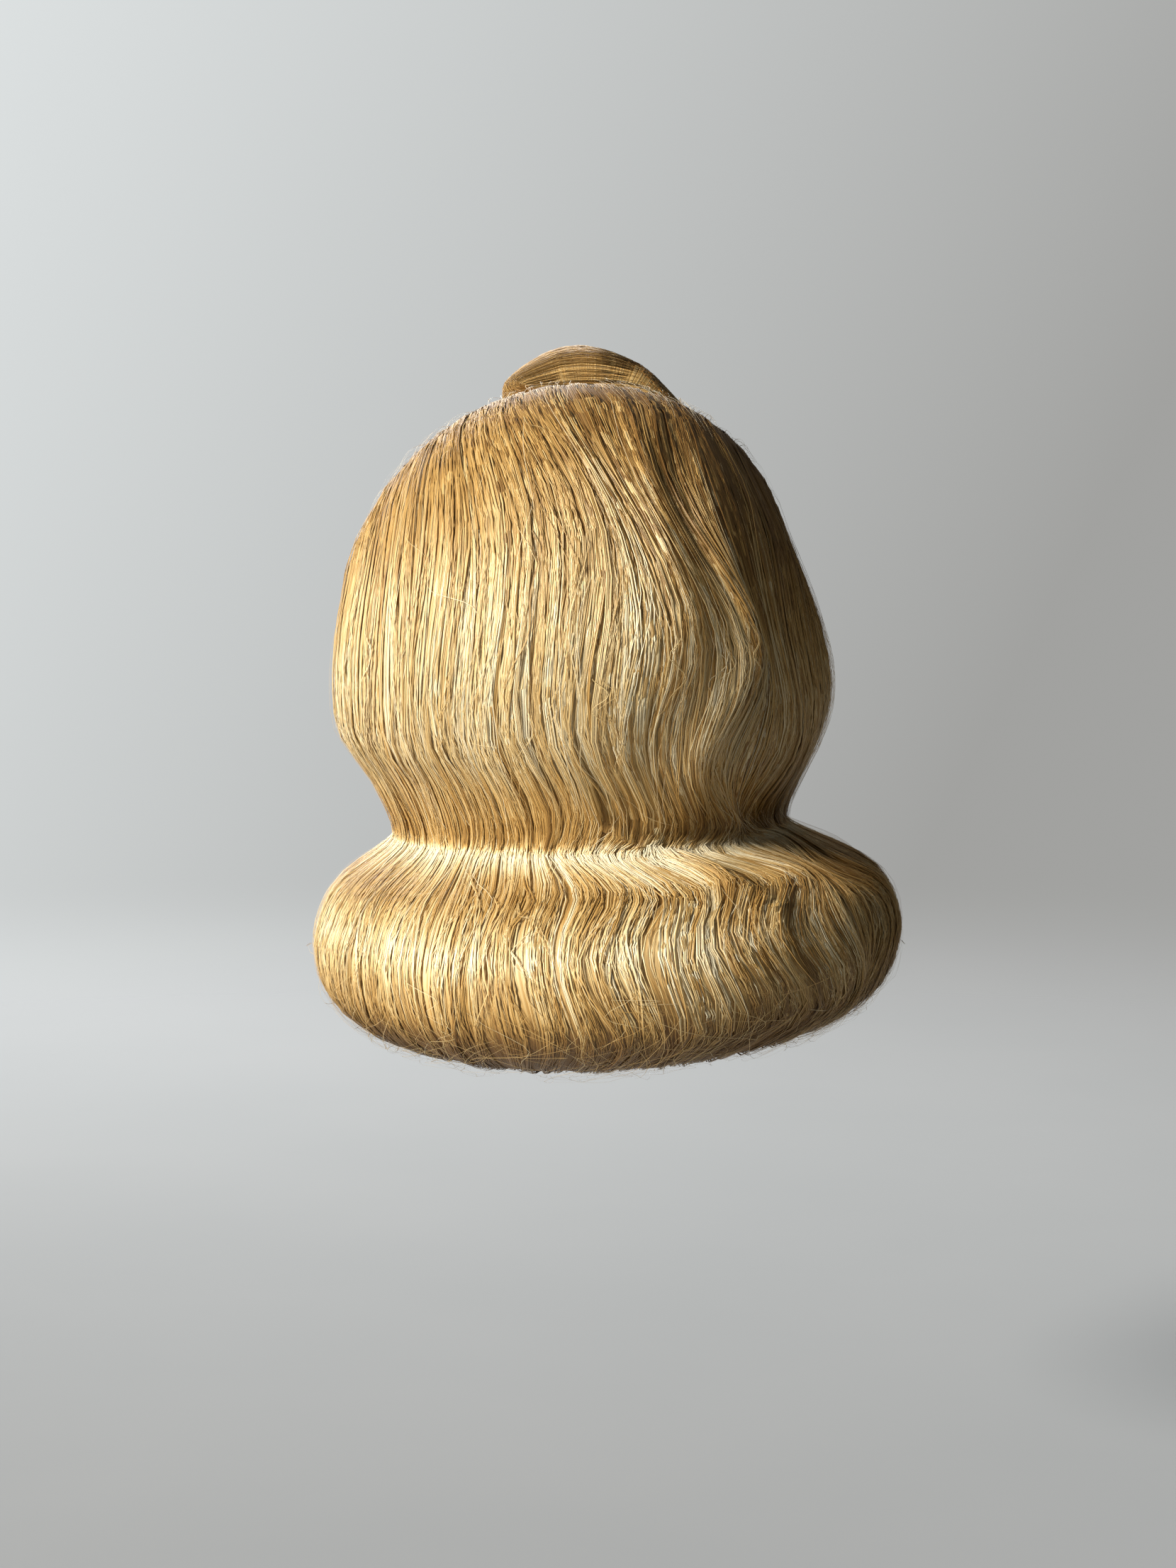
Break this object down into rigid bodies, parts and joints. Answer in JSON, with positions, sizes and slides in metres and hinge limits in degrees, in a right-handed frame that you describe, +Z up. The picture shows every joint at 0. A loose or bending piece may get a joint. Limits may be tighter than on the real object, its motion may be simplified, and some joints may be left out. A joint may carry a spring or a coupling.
{
  "type": "victory roll wig",
  "caption": "1940s style wig: front hair rolled into one large coil on top, back hair drawn in at the nape and turned under in a wide pageboy roll.",
  "frame": {"origin": "inside of the cap at the top of the head, where the wig sits on the wearer's vertex", "axes": "+Z up, the face looks along -Y, and +X is the wearer's left"},
  "size_m": [0.276, 0.2447, 0.3277],
  "materials": {
    "cap_net": "matt fine net",
    "front_hair": "smooth golden blonde hair",
    "rolled_hair": "smooth golden blonde hair",
    "crown_hair": "golden blonde hair with pale highlights",
    "pageboy_hair": "golden blonde hair with pale highlights"
  },
  "bodies": {
    "root": {"wig_cap": "cap_net", "front_sweep": "front_hair", "victory_roll": "rolled_hair", "crown_hair": "crown_hair", "pageboy_roll": "pageboy_hair"}
  },
  "joints": []
}
